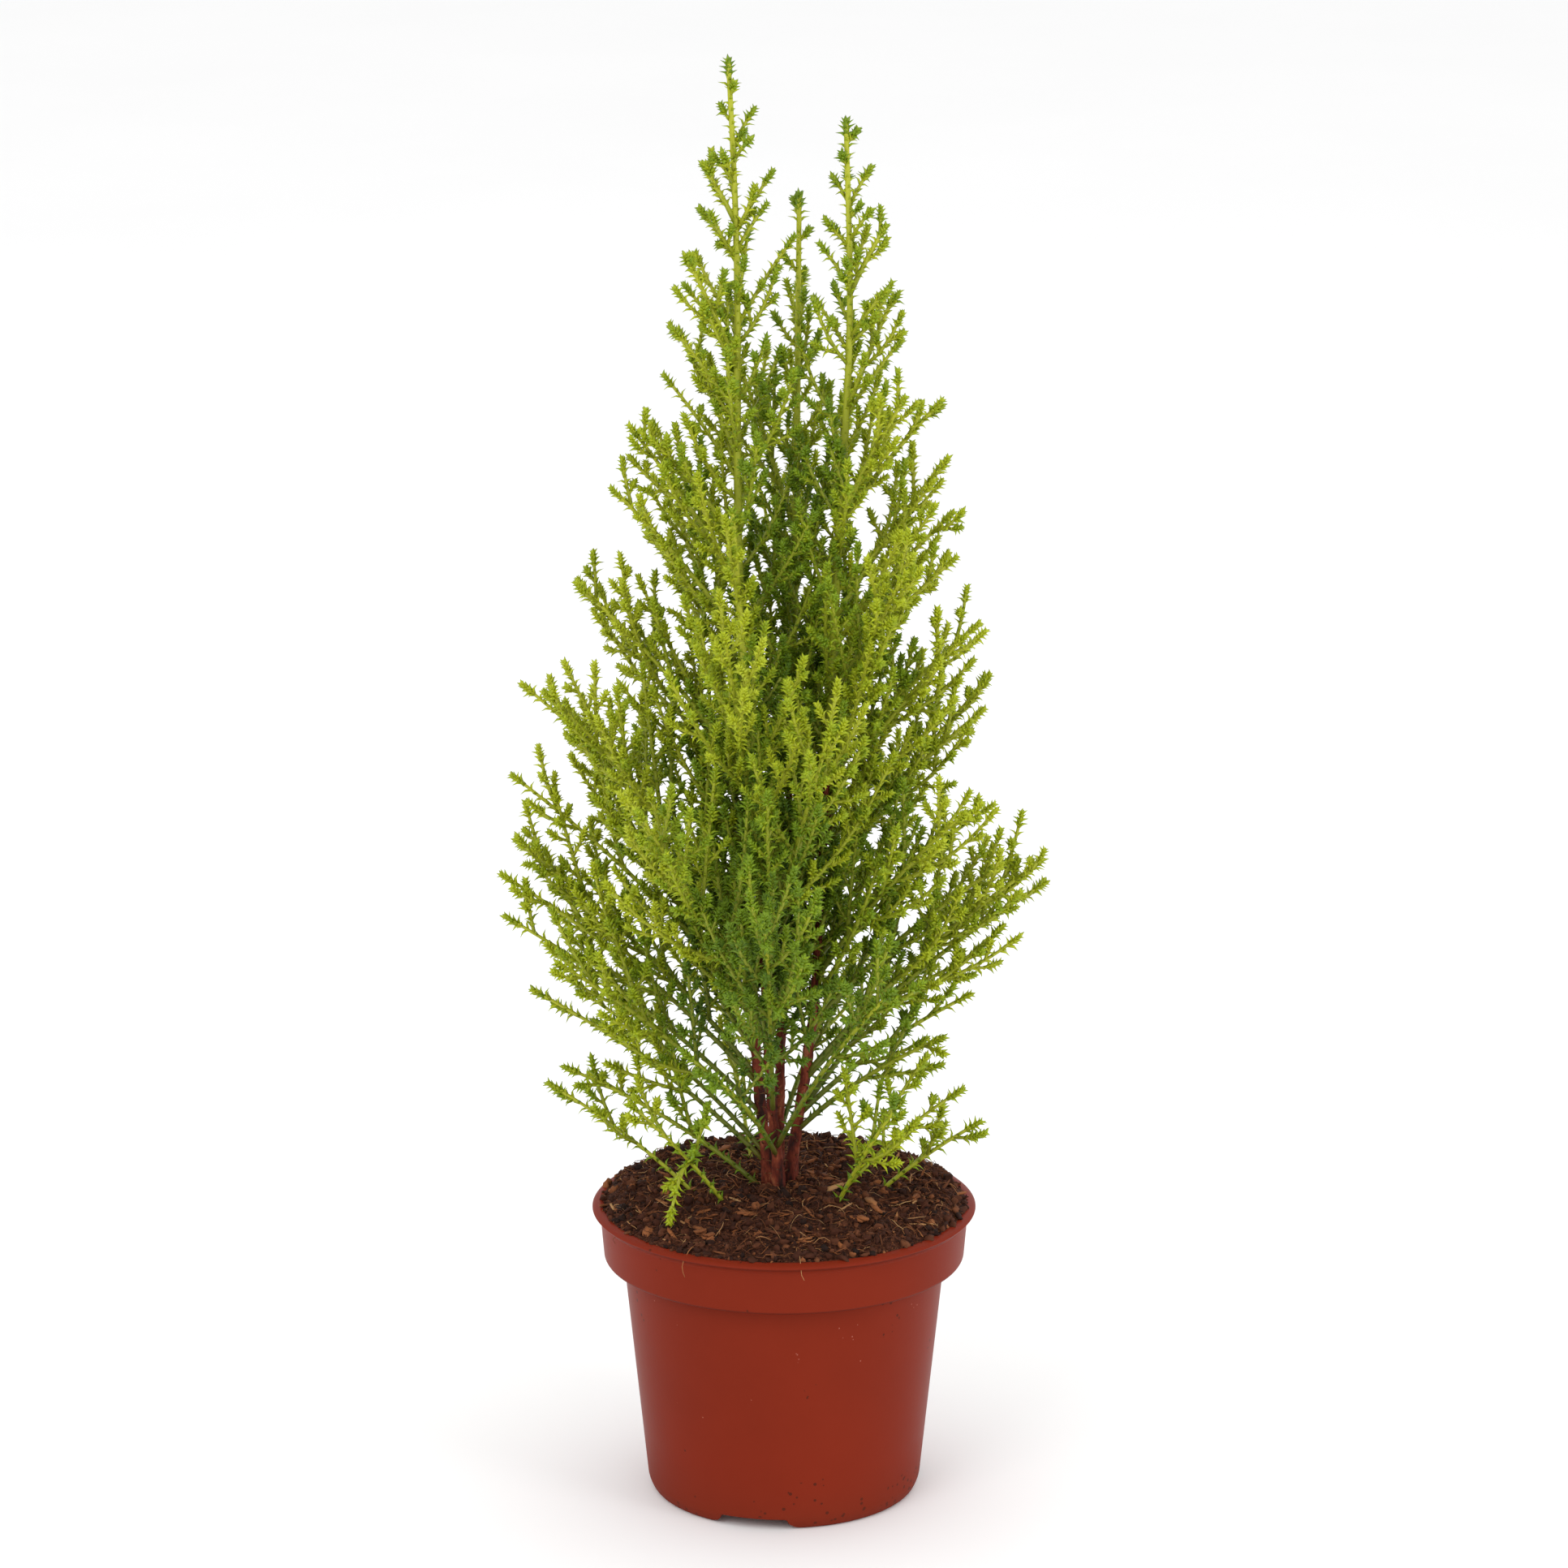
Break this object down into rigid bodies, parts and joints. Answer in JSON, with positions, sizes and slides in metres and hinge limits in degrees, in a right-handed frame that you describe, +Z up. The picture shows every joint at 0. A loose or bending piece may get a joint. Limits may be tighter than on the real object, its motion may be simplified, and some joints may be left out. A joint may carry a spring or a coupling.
{
  "type": "potted cypress",
  "caption": "Young lemon cypress with upright leaders and feathery needle-clad branches, growing in potting mix in a tapered plastic nursery pot with a wide collar and notched foot.",
  "frame": {"origin": "on the floor, under the middle of the pot", "axes": "+Z up, from the pot's foot to the tip of the tallest leader; -Y is the front, with the front leader and the front shoots; +X is to the right seen from the front"},
  "size_m": [0.1809, 0.1809, 0.49],
  "materials": {
    "pot": "satin moulded plastic, terracotta red",
    "potting_mix": "moist peat with bark chips and fibres",
    "bark": "rough reddish-brown bark",
    "foliage": "soft yellow-green needles"
  },
  "bodies": {
    "root": {"pot": "pot", "potting_mix": "potting_mix", "leader_left": "bark", "branch_left_01": "foliage", "branch_left_02": "foliage", "branch_left_03": "foliage", "branch_left_04": "foliage", "branch_left_05": "foliage", "branch_left_06": "foliage", "branch_left_07": "foliage", "branch_left_08": "foliage", "branch_left_09": "foliage", "branch_left_10": "foliage", "branch_left_11": "foliage", "leader_right": "bark", "branch_right_01": "foliage", "branch_right_02": "foliage", "branch_right_03": "foliage", "branch_right_04": "foliage", "branch_right_05": "foliage", "branch_right_06": "foliage", "branch_right_07": "foliage", "branch_right_08": "foliage", "branch_right_09": "foliage", "branch_right_10": "foliage", "branch_right_11": "foliage", "leader_back": "bark", "branch_back_01": "foliage", "branch_back_02": "foliage", "branch_back_03": "foliage", "branch_back_04": "foliage", "branch_back_05": "foliage", "branch_back_06": "foliage", "branch_back_07": "foliage", "branch_back_08": "foliage", "branch_back_09": "foliage", "branch_back_10": "foliage", "branch_back_11": "foliage", "leader_front": "bark", "branch_front_01": "foliage", "branch_front_02": "foliage", "branch_front_03": "foliage", "branch_front_04": "foliage", "branch_front_05": "foliage", "branch_front_06": "foliage", "basal_shoot_left": "foliage", "basal_shoot_front_left": "foliage", "basal_shoot_front_right": "foliage", "basal_shoot_right": "foliage", "basal_shoot_back": "foliage"}
  },
  "joints": []
}
